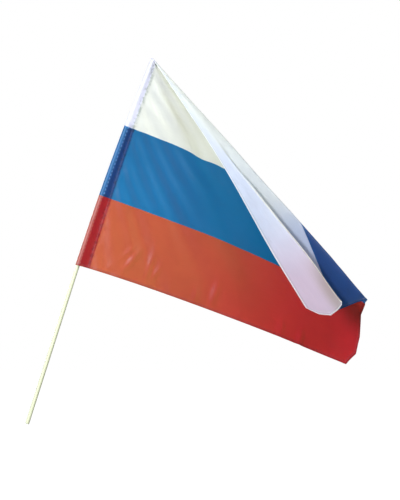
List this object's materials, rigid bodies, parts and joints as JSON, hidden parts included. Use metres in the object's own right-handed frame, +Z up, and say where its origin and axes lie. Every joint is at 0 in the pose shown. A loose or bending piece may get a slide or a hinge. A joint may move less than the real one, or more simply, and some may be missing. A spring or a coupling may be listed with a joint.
{
  "type": "stick flag with dowel",
  "caption": "Small hand-waved flag of thin striped cloth with a sewn sleeve, hanging in a folded drape from a leaning round wooden dowel.",
  "frame": {"origin": "centre of the stick's lower end face", "axes": "+X from the stick towards the fly end, +Y from the folded-over flap to the back of the cloth, +Z up; the stick leans in the XZ plane"},
  "size_m": [0.6234, 0.1593, 0.6636],
  "materials": {
    "flag_cloth": "thin glossy polyester, printed in three stripes: white, blue and red",
    "dowel": "plain pale softwood, lightly sanded"
  },
  "bodies": {
    "root": {"flag_cloth": "flag_cloth", "stick": "dowel"}
  },
  "joints": []
}
